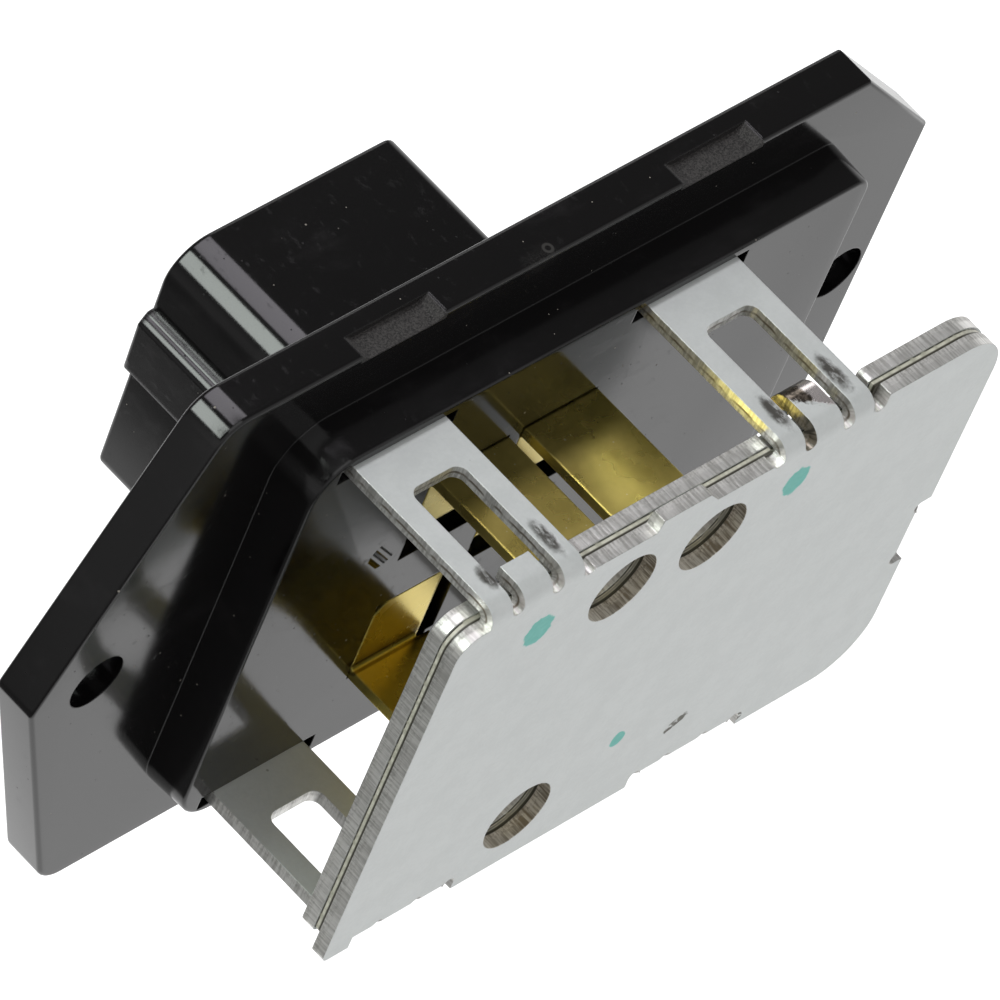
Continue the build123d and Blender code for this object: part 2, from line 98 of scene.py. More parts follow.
# The upper strips' kink, and the crease and the amber zone of the lower terminal
KINK = 8.9
KINK_HALF = 0.5
KINK_SHIFT = 2.6
CREASE = (0.0, -3.3, -9.3)
CREASE_RADIUS = 0.34
AMBER_RIGHT = -3.6
AMBER_TOP = -2.6
# Centre, reach and turn about Y of each patch, in millimetres and radians
PAINT_DOTS = (
    ((-14.65, -16.3, 11.5), (1.15, 1.0, 1.35), 0.0),
    ((0.65, -16.3, -8.95), (0.62, 1.0, 0.72), 0.0),
    ((7.6, -16.3, 12.0), (1.05, 1.0, 1.25), 0.0),
)
SCUFFS = (
    ((-18.55, -13.8, 16.2), (0.50, 0.85, 0.7), 0.0),
    ((-13.15, -13.4, 16.2), (0.45, 1.30, 0.7), 0.0),
    ((6.60, -13.6, 16.2), (0.50, 1.25, 0.7), 0.0),
    ((12.15, -13.2, 16.2), (0.50, 1.45, 0.7), 0.0),
)
SMUDGE = ((-2.9, -0.2, 22.0), (1.5, 1.1, 1.0), 0.0)
RING_MARK = (-2.0, 0.6, 22.0)
RING_RADIUS = 0.30
# The nick and the chip in the outer plate's face, with the unevenness of their edges as well
NICKS = (
    ((6.8, -16.3, -11.3), (1.0, 1.0, 0.40), -0.49, 0.55),
    ((14.05, -16.3, -15.45), (0.50, 1.0, 0.42), -0.49, 0.30),
)
# The darkened cut beside the upper right tongue, the slanting border of the worn bare patch on it,
# and where that patch's painted highlight comes in
DARKENED_CUT_ASIDE = 1.7
DARKENED_CUT_HALF = 0.8
RUB_LEFT = 8.4
RUB_SLANT = -0.71
RUB_BORDER = (13.8, 13.4)
RUB_PAINTED_HIGHLIGHT = (9.75, 10.0)

# Factors that flatten places along an axis
ALONG_X = (0, 1, 1)
ALONG_Y = (1, 0, 1)
# How far a surface's normal follows the sheet's thickness, on its faces and on its cut edges
FACE_ALIGNED = 0.80
EDGE_ALIGNED = 0.55
# Corners nearer than this, in millimetres, are one. Faces within the first angle are joined, and
# edges below the second one are shaded smooth, both in degrees.
MERGED = 0.0005
FLAT_ANGLE = 0.6
SMOOTH_ANGLE = 28

# Colours of what lies in or on the finishes, and of the painted light and shade in them
PLASTIC_SMEAR = (0.010, 0.009, 0.0095, 1)
PLASTIC_MARK = (0.050, 0.048, 0.046, 1)
SCOOP_DARK = (0.010, 0.009, 0.009, 1)
SCOOP_LIGHT = (0.068, 0.063, 0.061, 1)
DUST = (0.34, 0.31, 0.27, 1)
TORN_DARK = (0.42, 0.41, 0.385, 1)
TORN_LIGHT = (0.80, 0.79, 0.76, 1)
BURNISHED_LINE = (0.20, 0.165, 0.125, 1)
ZINC_PIT = (0.30, 0.30, 0.27, 1)
# The hole walls' painted brown reflection, and their painted highlight
HOLE_REFLECTION_DARK = (0.34, 0.28, 0.20, 1)
HOLE_REFLECTION_LIGHT = (1.0, 0.95, 0.86, 1)
HOLE_PAINTED_HIGHLIGHT = (0.97, 0.92, 0.82, 1)
DARKENED_CUT_DARK = (0.07, 0.06, 0.045, 1)
DARKENED_CUT_LIGHT = (0.42, 0.37, 0.28, 1)
SCUFF = (0.11, 0.105, 0.095, 1)
# The worn tongue's painted shade and painted highlight
RUBBED_PAINTED_SHADE_DARK = (0.085, 0.070, 0.055, 1)
RUBBED_PAINTED_SHADE_LIGHT = (0.30, 0.25, 0.205, 1)
RUBBED_PAINTED_HIGHLIGHT = (0.93, 0.86, 0.84, 1)
PAINT_THICK = (0.12, 0.60, 0.51, 1)
PAINT_THIN = (0.22, 0.74, 0.65, 1)
NICK = (0.10, 0.095, 0.07, 1)
# Painted shade where the film meets the plates, and along the lower terminal's crease
FILM_PAINTED_SHADE = (0.055, 0.05, 0.035, 1)
CREASE_PAINTED_SHADE = (0.22, 0.14, 0.02, 1)
BRASS_FLAW = (0.97, 0.90, 0.62, 1)
SOLDER_DARK = (0.38, 0.38, 0.37, 1)
SOLDER_LIGHT = (0.6, 0.6, 0.58, 1)
FOIL_DARK = (0.35, 0.34, 0.32, 1)
FOIL_LIGHT = (0.5, 0.49, 0.46, 1)


def mm(value):
    """A length in metres from one in millimetres."""
    return value * MM


class Nodes:
    """Builds a node tree from short calls."""

    def __init__(self, tree):
        self.tree = tree
        tree.nodes.clear()

    def add(self, kind, inputs=None, **settings):
        """A node with its settings, and its inputs set to values or linked to sockets."""
        node = self.tree.nodes.new(kind)
        for name, value in settings.items():
            setattr(node, name, value)
        for name, value in (inputs or {}).items():
            self.feed(node.inputs[name], value)
        return node

    def feed(self, socket, value):
        """Links a socket to another, or sets its value."""
        if isinstance(value, bpy.types.NodeSocket):
            self.tree.links.new(value, socket)
        else:
            socket.default_value = value

    def math(self, operation, first, second=0.0, third=0.0):
        """One arithmetic step."""
        node = self.add("ShaderNodeMath", operation=operation)
        for socket, value in zip(node.inputs, (first, second, third)):
            self.feed(socket, value)
        return node.outputs[0]

    def chain(self, operation, values):
        """One operation over several numbers in turn."""
        result, *others = values
        for value in others:
            result = self.math(operation, result, value)
        return result

    def product(self, *values):
        """The product of several numbers."""
        return self.chain("MULTIPLY", values)

    def highest(self, *values):
        """The highest of several numbers."""
        return self.chain("MAXIMUM", values)

    def gap(self, value, level):
        """How far a number is from a level, on either side."""
        return self.math("ABSOLUTE", self.math("SUBTRACT", value, level))

    def shares(self, first, share, second):
        """Two numbers added up, the first by its share of 1 and the second by the rest."""
        return self.math("ADD", self.product(first, share), self.product(second, 1.0 - share))

    def swing(self, variation, reach):
        """Variation from 0 to 1 turned into variation on both sides of zero."""
        return self.product(self.math("SUBTRACT", variation, 0.5), reach)

    def ramp(self, value, low, high):
        """A smooth step from 0 at low to 1 at high."""
        node = self.add("ShaderNodeMapRange", {"Value": value, "From Min": low, "From Max": high},
                        interpolation_type="SMOOTHSTEP")
        return node.outputs["Result"]

    def mix(self, factor, first, second):
        """A mix of two colours."""
        node = self.add("ShaderNodeMix", data_type="RGBA")
        self.feed(node.inputs[0], factor)
        self.feed(node.inputs[6], first)
        self.feed(node.inputs[7], second)
        return node.outputs[2]

    def blend(self, factor, first, second):
        """A mix of two numbers."""
        node = self.add("ShaderNodeMix", data_type="FLOAT")
        self.feed(node.inputs[0], factor)
        self.feed(node.inputs[2], first)
        self.feed(node.inputs[3], second)
        return node.outputs[0]

    def noise(self, vector, scale, detail=2.0, roughness=0.5):
        """Soft random variation from 0 to 1."""
        node = self.add("ShaderNodeTexNoise", {"Vector": vector, "Scale": scale, "Detail": detail,
                                               "Roughness": roughness})
        return node.outputs["Fac"]

    def streaks(self, vector, across, scale, detail=2.0):
        """Random variation that is drawn out along one way through the sheet."""
        node = self.add("ShaderNodeTexNoise", {"Vector": vector, "W": across, "Scale": scale,
                                               "Detail": detail}, noise_dimensions="4D")
        return node.outputs["Fac"]

    def vector(self, operation, first, second=None, scale=None):
        """One step of vector arithmetic, with a vector as its result."""
        node = self.add("ShaderNodeVectorMath", operation=operation)
        self.feed(node.inputs[0], first)
        if second is not None:
            self.feed(node.inputs[1], second)
        if scale is not None:
            self.feed(node.inputs["Scale"], scale)
        return node.outputs["Vector"]

    def measure(self, operation, first, second=(0.0, 0.0, 0.0)):
        """A length, distance or dot product of vectors."""
        node = self.add("ShaderNodeVectorMath", operation=operation)
        self.feed(node.inputs[0], first)
        self.feed(node.inputs[1], second)
        return node.outputs["Value"]

    def scaled(self, vector, scale):
        """Coordinates that are stretched along each axis."""
        node = self.add("ShaderNodeMapping", {"Vector": vector, "Scale": scale})
        return node.outputs["Vector"]

    def split(self, vector):
        """The three parts of a vector."""
        node = self.add("ShaderNodeSeparateXYZ", {"Vector": vector})
        return node.outputs

    def specks(self, vector, scale, size, share):
        """Small round specks, of which only a share of the cells has one."""
        node = self.add("ShaderNodeTexVoronoi", {"Vector": vector, "Scale": scale})
        near = self.ramp(node.outputs["Distance"], size, size * 0.5)
        chosen = self.math("LESS_THAN", self.split(node.outputs["Color"])[0], share)
        return self.product(near, chosen)

    def blot(self, vector, centre, reach, turn=0.0, rough=0.35, scale=1.5, soft=0.08):
        """A patch with an uneven edge round a centre, 1 inside it and 0 outside."""
        node = self.add("ShaderNodeMapping", {"Vector": vector, "Location": centre,
                                              "Rotation": (0.0, turn, 0.0), "Scale": reach},
                        vector_type="TEXTURE")
        away = self.measure("LENGTH", node.outputs["Vector"])
        uneven = self.noise(vector, scale, 3.0, 0.6)
        away = self.math("ADD", away, self.swing(uneven, rough * 2))
        return self.ramp(away, 1.0 + soft, 1.0 - soft)

    def bump(self, height, distance, strength=1.0, normal=None):
        """A bumped normal."""
        inputs = {"Height": height, "Distance": distance, "Strength": strength}
        if normal is not None:
            inputs["Normal"] = normal
        return self.add("ShaderNodeBump", inputs).outputs["Normal"]

    def soft_edges(self, radius):
        """A normal that turns round each sharp edge."""
        return self.add("ShaderNodeBevel", {"Radius": radius}, samples=4).outputs["Normal"]


def material(name, build):
    """A node material. The build function gets the tree's helper, its object coordinates in
    millimetres and its shader."""
    made = bpy.data.materials.new(name)
    made.use_nodes = True
    nodes = Nodes(made.node_tree)
    coordinates = nodes.add("ShaderNodeTexCoord").outputs["Object"]
    places = nodes.scaled(coordinates, (1 / MM, 1 / MM, 1 / MM))
    shader = nodes.add("ShaderNodeBsdfPrincipled")
    output = nodes.add("ShaderNodeOutputMaterial")
    nodes.tree.links.new(shader.outputs[0], output.inputs[0])
    build(nodes, places, shader)
    return made


def finishes():
    """The colours that the panel shows."""
    return bpy.context.scene.resistor_finishes


def sizes():
    """The sizes that the panel shows."""
    return bpy.context.scene.resistor_sizes


def rgba(colour):
    """A colour with full alpha."""
    return (colour[0], colour[1], colour[2], 1.0)


def black_plastic(nodes, places, shader):
    """Glossy black moulding: faint haze and grain, dust, and matt scoops in the upper edge."""
    x, y, z = nodes.split(places)[:3]
    grain = nodes.noise(places, 5.0, 4.0, 0.6)
    haze = nodes.noise(places, 0.16, 4.0, 0.6)
    smear = nodes.noise(nodes.scaled(places, (0.5, 1.0, 1.6)), 0.22, 5.0, 0.65)
    smear = nodes.ramp(smear, 0.52, 0.75)
    dust = nodes.highest(nodes.specks(places, 0.55, 0.055, 0.30),
                         nodes.specks(places, 1.3, 0.075, 0.12))
    beside = [nodes.ramp(nodes.gap(x, centre), SCOOP_HALF + 0.05, SCOOP_HALF - 0.1)
              for centre in SCOOP_CENTRES]
    scoops = nodes.product(nodes.highest(*beside),
                           nodes.ramp(z, SCOOP_FLOOR - 0.1, SCOOP_FLOOR - MARGIN),
                           nodes.ramp(y, SCOOP_REACH + MARGIN, SCOOP_REACH - MARGIN),
                           nodes.ramp(z, SCOOP_FLOOR + 0.46, SCOOP_FLOOR + 0.40))
    coarse = nodes.noise(places, 9.0, 3.0, 0.7)
    colour = nodes.mix(smear, rgba(finishes().plastic), PLASTIC_SMEAR)
    colour = nodes.mix(scoops, colour, nodes.mix(nodes.ramp(coarse, 0.35, 0.65), SCOOP_DARK,
                                                 SCOOP_LIGHT))
    colour = nodes.mix(dust, colour, DUST)
    ring = nodes.gap(nodes.measure("DISTANCE", places, RING_MARK), RING_RADIUS)
    smudge = nodes.blot(places, *SMUDGE, 0.6, 1.4, 0.5)
    mark = nodes.highest(nodes.ramp(ring, 0.16, 0.04),
                         nodes.product(smudge, nodes.ramp(coarse, 0.40, 0.60), 0.35))
    nodes.feed(shader.inputs["Base Color"], nodes.mix(mark, colour, PLASTIC_MARK))
    stains = nodes.noise(nodes.scaled(places, (1.0, 0.5, 1.0)), 1.6, 5.0, 0.7)
    rough = nodes.blend(haze, 0.09, 0.15)
    rough = nodes.blend(smear, rough, 0.20)
    rough = nodes.blend(nodes.ramp(stains, 0.58, 0.68), rough, 0.24)
    rough = nodes.blend(scoops, rough, 0.72)
    rough = nodes.blend(nodes.specks(places, 1.1, 0.10, 0.30), rough, 0.45)
    nodes.feed(shader.inputs["Roughness"], nodes.blend(dust, rough, 0.8))
    # The key rib's corner and foot are rounder than the other edges, and its slope is crowned.
    flat = nodes.vector("MULTIPLY", places, ALONG_Y)
    rib = nodes.measure("DISTANCE", flat, RIB_EDGE)
    foot = nodes.measure("DISTANCE", flat, RIB_FOOT)
    edge = nodes.blend(nodes.highest(nodes.ramp(rib, 0.9, 0.6), nodes.ramp(foot, 0.9, 0.6)),
                       sizes().plastic_edge, sizes().rib_edge)
    up = nodes.measure("DOT_PRODUCT", nodes.vector("SUBTRACT", flat, RIB_CUT),
                       tuple(-part for part in RIB_SLOPE))
    crowns = []
    for centre, level in RIB_CROWNS:
        off = nodes.math("SUBTRACT", up, centre)
        crowns.append(nodes.math("MULTIPLY_ADD", nodes.product(off, off), -CROWN_CURVE, level))
    crown = nodes.product(nodes.highest(*crowns, 0.0),
                          nodes.math("LESS_THAN", rib, CROWN_REACH))
    normal = nodes.bump(crown, mm(1.0), 1.0, nodes.soft_edges(edge))
    normal = nodes.bump(grain, mm(0.003), 0.30, normal)
    rugged = nodes.product(coarse, scoops)
    nodes.feed(shader.inputs["Normal"], nodes.bump(rugged, mm(0.05), 0.8, normal))


def sheared(nodes, places, middle, across, lip, lined):
    """What the cut edges of a sheet have: fine lines across its thickness, in a burnished band
    beside the face that the punch met and a duller torn band behind it, with a brown line between
    them where it is lined. Gives colour, roughness and height."""
    fine = nodes.streaks(middle, nodes.product(across, 0.10), 5.0, 2.0)
    broad = nodes.streaks(middle, nodes.product(across, 0.30), 1.1, 3.0)
    torn = nodes.noise(places, 6.0, 4.0, 0.65)
    border = nodes.math("ADD", lip, nodes.swing(broad, 0.35))
    burnished = nodes.ramp(nodes.math("SUBTRACT", across, border), -0.10, 0.10)
    streak = nodes.shares(fine, 0.7, broad)
    smooth = nodes.mix(nodes.ramp(streak, 0.38, 0.60), rgba(finishes().bare_dark),
                       rgba(finishes().bare))
    grit = nodes.shares(streak, 0.7, torn)
    rough = nodes.mix(nodes.ramp(grit, 0.38, 0.60), TORN_DARK, TORN_LIGHT)
    colour = nodes.mix(burnished, rough, smooth)
    line = nodes.product(nodes.ramp(nodes.gap(across, border), 0.14, 0.02),
                         nodes.ramp(broad, 0.30, 0.60), lined)
    colour = nodes.mix(line, colour, BURNISHED_LINE)
    roughness = nodes.blend(burnished, 0.46, 0.30)
    height = nodes.blend(burnished, grit, streak)
    return colour, roughness, height


def sheet_normal(nodes, height, cut):
    """The soft edges of a sheet, with the height of its cut ones on them."""
    soft = nodes.soft_edges(sizes().steel_edge)
    return nodes.bump(nodes.product(height, cut), mm(0.03), 0.8, soft)


def zinc(nodes, places):
    """The plating on the sheet's faces. Gives colour and roughness."""
    mottle = nodes.noise(places, 0.45, 5.0, 0.62)
    fine = nodes.noise(places, 3.2, 4.0, 0.6)
    blend = nodes.shares(mottle, 0.6, fine)
    colour = nodes.mix(nodes.ramp(blend, 0.35, 0.65), rgba(finishes().zinc_dark),
                       rgba(finishes().zinc))
    pits = nodes.specks(places, 0.30, 0.035, 0.35)
    colour = nodes.mix(nodes.product(pits, 0.7), colour, ZINC_PIT)
    return colour, nodes.blend(blend, 0.38, 0.50)


def scuffs(nodes, places):
    """Dark scraped patches beside the folds, where the punch slipped."""
    torn = nodes.noise(nodes.scaled(places, (1.0, 0.45, 1.0)), 2.4, 4.0, 0.65)
    marks = nodes.highest(*(nodes.blot(places, *patch, 0.5, 1.6, 0.45) for patch in SCUFFS))
    return nodes.product(marks, nodes.ramp(torn, 0.22, 0.52))


def rubbed_and_painted_light(nodes, places, tongue):
    """Where the upper right tongue is worn bare, past a slanting border, with painted shade on its
    left and a painted highlight on its right. Gives share and colour."""
    x, y = nodes.split(places)[:2]
    mottle = nodes.noise(places, 3.0, 4.0, 0.65)
    border = nodes.math("MULTIPLY_ADD", nodes.math("SUBTRACT", x, RUB_LEFT), RUB_SLANT,
                        nodes.product(y, -1.0))
    border = nodes.math("ADD", border, nodes.swing(mottle, 1.2))
    beside = nodes.gap(x, LEG_CENTRES[1])
    share = nodes.product(nodes.ramp(border, *RUB_BORDER),
                          nodes.math("LESS_THAN", beside, TONGUE_HALF + MARGIN), tongue)
    dark = nodes.mix(nodes.ramp(mottle, 0.40, 0.62), RUBBED_PAINTED_SHADE_DARK, RUBBED_PAINTED_SHADE_LIGHT)
    bright = nodes.ramp(nodes.math("MULTIPLY_ADD", mottle, 0.8, x), *RUB_PAINTED_HIGHLIGHT)
    return share, nodes.mix(bright, dark, RUBBED_PAINTED_HIGHLIGHT)


def outer_sheet(nodes, places, shader):
    """The folded stamping: satin zinc on its faces, cut edges, paint dots, scuffs and a nick."""
    x, y, z = nodes.split(places)[:3]
    # Only the legs and the side tab are folded. Elsewhere the sheet is flat.
    legs = nodes.highest(*(nodes.math("LESS_THAN", nodes.gap(x, centre), LEG_HALF + MARGIN)
                           for centre in LEG_CENTRES))
    tab = nodes.math("LESS_THAN", nodes.gap(z, TAB_CENTRE), TAB_HALF + MARGIN)
    above = nodes.math("GREATER_THAN", z, FOLD_CORE)
    tongue = nodes.product(above, nodes.math("LESS_THAN", y, -TONGUE_START))
    # The nearest point of the core that the sheet is folded round, and the way out from it
    core_z = nodes.math("MAXIMUM", nodes.math("MINIMUM", z, FOLD_CORE), -FOLD_CORE)
    core = nodes.add("ShaderNodeCombineXYZ", {
        "X": nodes.blend(tab, x, nodes.math("MINIMUM", x, TAB_CORE)),
        "Y": nodes.math("MAXIMUM", y, -FOLD_CORE),
        "Z": nodes.blend(legs, z, core_z),
    }).outputs["Vector"]
    out = nodes.vector("SUBTRACT", places, core)
    reach = nodes.measure("LENGTH", out)
    way = nodes.vector("NORMALIZE", out)
    across = nodes.math("SUBTRACT", reach, FOLD_INSIDE)
    middle = nodes.vector("ADD", core, nodes.vector("SCALE", way, scale=FOLD_INSIDE + HALF_SHEET))
    facing = nodes.add("ShaderNodeNewGeometry").outputs["True Normal"]
    aligned = nodes.math("ABSOLUTE", nodes.measure("DOT_PRODUCT", facing, way))
    cut = nodes.product(nodes.ramp(aligned, FACE_ALIGNED, EDGE_ALIGNED),
                        nodes.math("GREATER_THAN", reach, FOLD_INSIDE - 0.05))
    face_colour, face_rough = zinc(nodes, places)
    edge_colour, edge_rough, edge_height = sheared(nodes, places, middle, across, 0.45,
                                                   nodes.product(legs, above))
    relief = nodes.ramp(edge_height, 0.40, 0.60)
    # The walls of the three holes are browner than the outline's edges, a painted reflection, and
    # bright at their left, a painted highlight.
    brown = nodes.mix(relief, HOLE_REFLECTION_DARK, HOLE_REFLECTION_LIGHT)
    flat = nodes.vector("MULTIPLY", places, ALONG_Y)
    bright = []
    for hole in HOLES:
        inside = nodes.ramp(nodes.measure("DISTANCE", flat, hole), HOLE_WALL + 0.15, HOLE_WALL)
        edge_colour = nodes.mix(nodes.product(inside, 0.9), edge_colour, brown)
        left = nodes.ramp(nodes.math("SUBTRACT", x, hole[0]), 1.2, -2.4)
        bright.append(nodes.product(inside, left))
    painted_sheen = nodes.highest(*bright)
    edge_colour = nodes.mix(nodes.product(painted_sheen, 0.6), edge_colour, HOLE_PAINTED_HIGHLIGHT)
    # The cut beside the upper right tongue is darkened to a mottled brown.
    beside = nodes.gap(x, LEG_CENTRES[1] - DARKENED_CUT_ASIDE)
    darkened_cut = nodes.product(nodes.math("LESS_THAN", beside, DARKENED_CUT_HALF), tongue, 0.85)
    edge_colour = nodes.mix(darkened_cut, edge_colour, nodes.mix(relief, DARKENED_CUT_DARK, DARKENED_CUT_LIGHT))
    marks = scuffs(nodes, places)
    face_colour = nodes.mix(marks, face_colour, SCUFF)
    face_rough = nodes.blend(marks, face_rough, 0.32)
    # The worn bare patch on the upper right tongue carries painted shade and a painted highlight.
    bare, bare_painted_light = rubbed_and_painted_light(nodes, places, tongue)
    face_colour = nodes.mix(bare, face_colour, bare_painted_light)
    face_rough = nodes.blend(bare, face_rough, 0.24)
    # The paint and the nicks are only on the outer face.
    outside = nodes.ramp(y, 0.1 - OUTER_FACE, 0.05 - OUTER_FACE)
    paint = nodes.highest(*(nodes.blot(places, *dot, 0.30, 1.7) for dot in PAINT_DOTS))
    paint = nodes.product(paint, outside)
    thin = nodes.noise(places, 2.5, 3.0)
    face_colour = nodes.mix(paint, face_colour, nodes.mix(thin, PAINT_THICK, PAINT_THIN))
    nick = nodes.highest(*(nodes.blot(places, *patch, 2.4) for patch in NICKS))
    nick = nodes.product(nick, outside)
    face_colour = nodes.mix(nodes.product(nick, nodes.ramp(thin, 0.30, 0.5)), face_colour, NICK)
    metal = nodes.product(nodes.math("SUBTRACT", 1.0, paint), finishes().zinc_metal)
    # The hole walls mirror less where their painted highlight is.
    metal = nodes.blend(cut, metal, nodes.blend(painted_sheen, finishes().edge_metal, 0.1))
    nodes.feed(shader.inputs["Metallic"], nodes.blend(bare, metal, 0.9))
    nodes.feed(shader.inputs["Base Color"], nodes.mix(cut, face_colour, edge_colour))
    nodes.feed(shader.inputs["Roughness"], nodes.blend(cut, face_rough, edge_rough))
    dents = nodes.math("ADD", nodes.product(marks, -1.0), nodes.product(nick, -1.5))
    nodes.feed(shader.inputs["Normal"], nodes.bump(dents, mm(0.06), 0.7,
                                                   sheet_normal(nodes, edge_height, cut)))


def inner_sheet(nodes, places, shader):
    """The plate behind it, with the same finish."""
    depth = nodes.product(nodes.split(places)[1], -1.0)
    across = nodes.math("SUBTRACT", depth, INNER_BACK)
    middle = nodes.vector("MULTIPLY", places, ALONG_Y)
    facing = nodes.add("ShaderNodeNewGeometry").outputs["True Normal"]
    aligned = nodes.math("ABSOLUTE", nodes.split(facing)[1])
    cut = nodes.ramp(aligned, FACE_ALIGNED, EDGE_ALIGNED)
    face_colour, face_rough = zinc(nodes, places)
    edge_colour, edge_rough, edge_height = sheared(nodes, places, middle, across, 0.40, 0.0)
    nodes.feed(shader.inputs["Metallic"], nodes.blend(cut, finishes().zinc_metal,
                                                      finishes().edge_metal))
    nodes.feed(shader.inputs["Base Color"], nodes.mix(cut, face_colour, edge_colour))
    nodes.feed(shader.inputs["Roughness"], nodes.blend(cut, face_rough, edge_rough))
    nodes.feed(shader.inputs["Normal"], sheet_normal(nodes, edge_height, cut))


def film(nodes, places, shader):
    """Cream insulating film, with painted shade along the lines where it meets the plates."""
    y = nodes.split(places)[1]
    tone = nodes.noise(nodes.scaled(places, (1.0, 0.3, 1.0)), 1.8, 4.0)
    colour = nodes.mix(nodes.ramp(tone, 0.3, 0.7), rgba(finishes().film_dark),
                       rgba(finishes().film))
    # The dark lines where the film meets the plates are painted shade.
    front = nodes.ramp(nodes.gap(y, -FILM_FRONT), 0.19, 0.09)
    back = nodes.product(nodes.ramp(nodes.gap(y, -FILM_BACK), 0.10, 0.03),
                         nodes.ramp(tone, 0.35, 0.50))
    line = nodes.highest(front, back)
    nodes.feed(shader.inputs["Base Color"], nodes.mix(line, colour, FILM_PAINTED_SHADE))
    shader.inputs["Roughness"].default_value = 0.33
    nodes.feed(shader.inputs["Normal"], nodes.bump(tone, mm(0.02), 0.4))


def brass(nodes, places, shader):
    """Rolled brass strip: cloudy tarnish, fine rolling lines, and bright specks and scratches."""
    parts = nodes.split(places)
    cloud = nodes.noise(places, 0.40, 3.0, 0.55)
    fine = nodes.noise(places, 2.6, 4.0, 0.65)
    rolling = nodes.noise(nodes.scaled(places, (4.0, 0.12, 1.0)), 2.0, 3.0)
    tarnish = nodes.ramp(nodes.shares(cloud, 0.85, fine), 0.05, 0.85)
    colour = nodes.mix(tarnish, rgba(finishes().brass_dark), rgba(finishes().brass))
    # The lower terminal has gone amber, and a dark line of painted shade runs along its crease.
    amber = nodes.product(nodes.ramp(parts["X"], AMBER_RIGHT, AMBER_RIGHT - 0.1),
                          nodes.ramp(parts["Z"], AMBER_TOP, AMBER_TOP - 0.2))
    colour = nodes.mix(nodes.product(amber, 0.25), colour, rgba(finishes().amber))
    crease = nodes.measure("DISTANCE", nodes.vector("MULTIPLY", places, ALONG_X), CREASE)
    crease = nodes.ramp(nodes.gap(crease, CREASE_RADIUS), 0.20, 0.05)
    colour = nodes.mix(nodes.product(crease, amber, 0.8), colour, CREASE_PAINTED_SHADE)
    flaws = nodes.highest(nodes.specks(places, 0.8, 0.09, 0.30),
                          nodes.specks(places, 1.7, 0.11, 0.20))
    colour = nodes.mix(nodes.product(flaws, 0.7), colour, BRASS_FLAW)
    nodes.feed(shader.inputs["Base Color"], colour)
    shader.inputs["Metallic"].default_value = 1.0
    rough = nodes.blend(cloud, 0.20, 0.36)
    nodes.feed(shader.inputs["Roughness"], nodes.blend(flaws, rough, 0.45))
    normal = nodes.soft_edges(sizes().brass_edge)
    nodes.feed(shader.inputs["Normal"], nodes.bump(rolling, mm(0.004), 0.35, normal))


def solder(nodes, places, shader):
    """Dull solder."""
    tone = nodes.noise(places, 2.0, 3.0)
    nodes.feed(shader.inputs["Base Color"], nodes.mix(tone, SOLDER_DARK, SOLDER_LIGHT))
    shader.inputs["Metallic"].default_value = 1.0
    nodes.feed(shader.inputs["Roughness"], nodes.blend(tone, 0.26, 0.42))
    nodes.feed(shader.inputs["Normal"], nodes.bump(tone, mm(0.08), 0.5))


def foil(nodes, places, shader):
    """Rolled resistance foil."""
    tone = nodes.noise(nodes.scaled(places, (0.2, 1.0, 3.0)), 2.0, 3.0)
    nodes.feed(shader.inputs["Base Color"], nodes.mix(tone, FOIL_DARK, FOIL_LIGHT))
    shader.inputs["Metallic"].default_value = 1.0
    nodes.feed(shader.inputs["Roughness"], nodes.blend(tone, 0.25, 0.35))


def dressed(node, made, kink_shift=0.0):
    """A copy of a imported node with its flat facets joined, its curved ones shaded smooth and its
    own finish, which stands in for that node. An upper strip's kink may lie nearer its tip."""
    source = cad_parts[node]
    mesh = source.data.copy()
    mesh.name = node + "_finished"
    mesh.transform(source.matrix_world)
    piece = bpy.data.objects.new(node + "_finished", mesh)
    bpy.context.scene.collection.objects.link(piece)
    edit = bmesh.new()
    edit.from_mesh(mesh)
    bmesh.ops.remove_doubles(edit, verts=edit.verts, dist=mm(MERGED))
    bmesh.ops.dissolve_degenerate(edit, edges=edit.edges, dist=mm(MERGED))
    bmesh.ops.dissolve_limit(edit, angle_limit=math.radians(FLAT_ANGLE), verts=edit.verts,
                             edges=edit.edges)
    for corner in edit.verts:
        if kink_shift and abs(corner.co.y + mm(KINK)) < mm(KINK_HALF):
            corner.co.y -= kink_shift
    for edge in edit.edges:
        edge.smooth = not edge.is_manifold or is_smooth(edge)
    for face in edit.faces:
        face.smooth = True
    edit.to_mesh(mesh)
    edit.free()
    mesh.materials.clear()
    mesh.materials.append(made)
    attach(piece, BODY)
    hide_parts(node)
    return piece


def is_smooth(edge):
    """Whether an edge between two faces is flat enough to be shaded smooth."""
    return edge.calc_face_angle(0.0) < math.radians(SMOOTH_ANGLE)


def round_rib(piece):
    """Cuts the slope of the key rib in two and moves the cut outwards, so that the rib's corner
    rounds over as a moulded one does."""
    edit = bmesh.new()
    edit.from_mesh(piece.data)
    slope = Vector(RIB_SLOPE)
    start = Vector(RIB_CUT) * MM
    faces = [face for face in edit.faces
             if abs((face.calc_center_median() - start).dot(slope)) < mm(RIB_REACH)
             and face.calc_center_median().x < mm(RIB_RIGHT)
             and face.calc_center_median().y > mm(RIB_BASE)
             and abs(face.normal.y) < 0.99
             and face.normal.z > 0.1]
    parts = set(faces)
    for face in faces:
        parts.update(face.edges)
        parts.update(face.verts)
    made = bmesh.ops.bisect_plane(edit, geom=list(parts), dist=mm(0.001), plane_co=start,
                                  plane_no=slope)
    move = Vector(RIB_EDGE) * MM - start
    for part in made["geom_cut"]:
        if isinstance(part, bmesh.types.BMVert):
            part.co += move
    for edge in edit.edges:
        if edge.is_manifold:
            edge.smooth = is_smooth(edge)
    edit.to_mesh(piece.data)
    edit.free()


